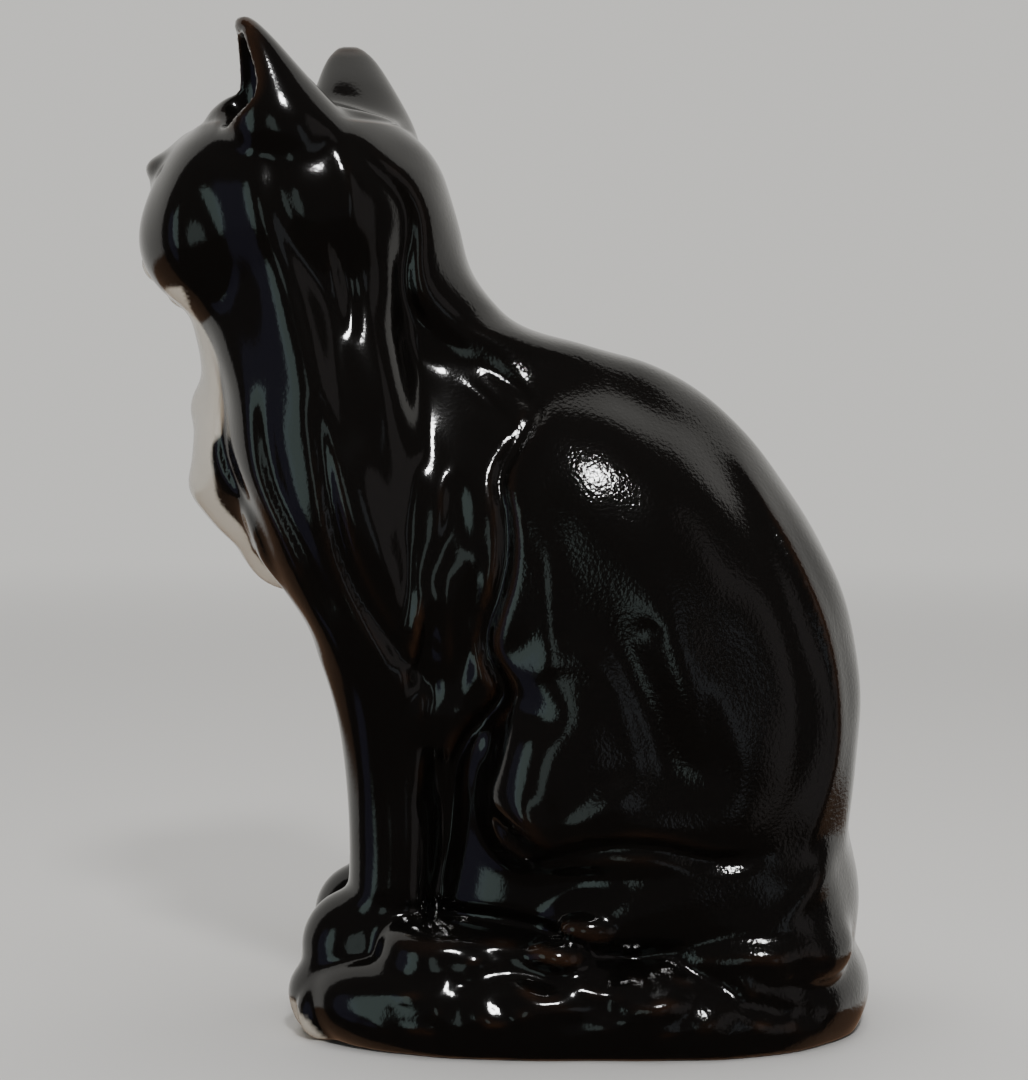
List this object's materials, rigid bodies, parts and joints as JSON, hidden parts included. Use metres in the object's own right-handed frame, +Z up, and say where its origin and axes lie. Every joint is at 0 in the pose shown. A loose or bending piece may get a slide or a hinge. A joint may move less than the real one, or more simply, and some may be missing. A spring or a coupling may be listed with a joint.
{
  "type": "ceramic cat figurine",
  "caption": "Seated cat in mirror-bright black and white glaze, head turned to its right, tail wrapped along its left side to the front paws.",
  "frame": {"origin": "middle of the flat face that the figurine rests on, under the trunk", "axes": "+Z up; the cat's body faces -Y and its left side faces +X"},
  "size_m": [0.1035, 0.2055, 0.2734],
  "materials": {
    "black_glaze": "near-black fired glaze under a clear, mirror-bright coat",
    "white_glaze": "warm white fired glaze under a clear, mirror-bright coat",
    "nose_glaze": "dusky pink fired colour under a clear, mirror-bright coat",
    "eye_glaze": "amber fired colour with a dark slit, under a clear, mirror-bright coat",
    "bare_clay": "unglazed pale clay, matt and slightly rough"
  },
  "bodies": {
    "root": {"body_shell": "black_glaze", "base_floor": "bare_clay", "head_shell": "black_glaze", "left_ear": "black_glaze", "right_ear": "black_glaze", "muzzle": "white_glaze", "nose": "nose_glaze", "left_eye": "eye_glaze", "right_eye": "eye_glaze", "chest_ruff": "white_glaze", "left_foreleg": "black_glaze", "right_foreleg": "black_glaze", "left_front_paw": "black_glaze", "right_front_paw": "black_glaze", "left_haunch": "black_glaze", "right_haunch": "black_glaze", "left_hind_foot": "black_glaze", "right_hind_foot": "black_glaze", "tail": "black_glaze"}
  },
  "joints": []
}
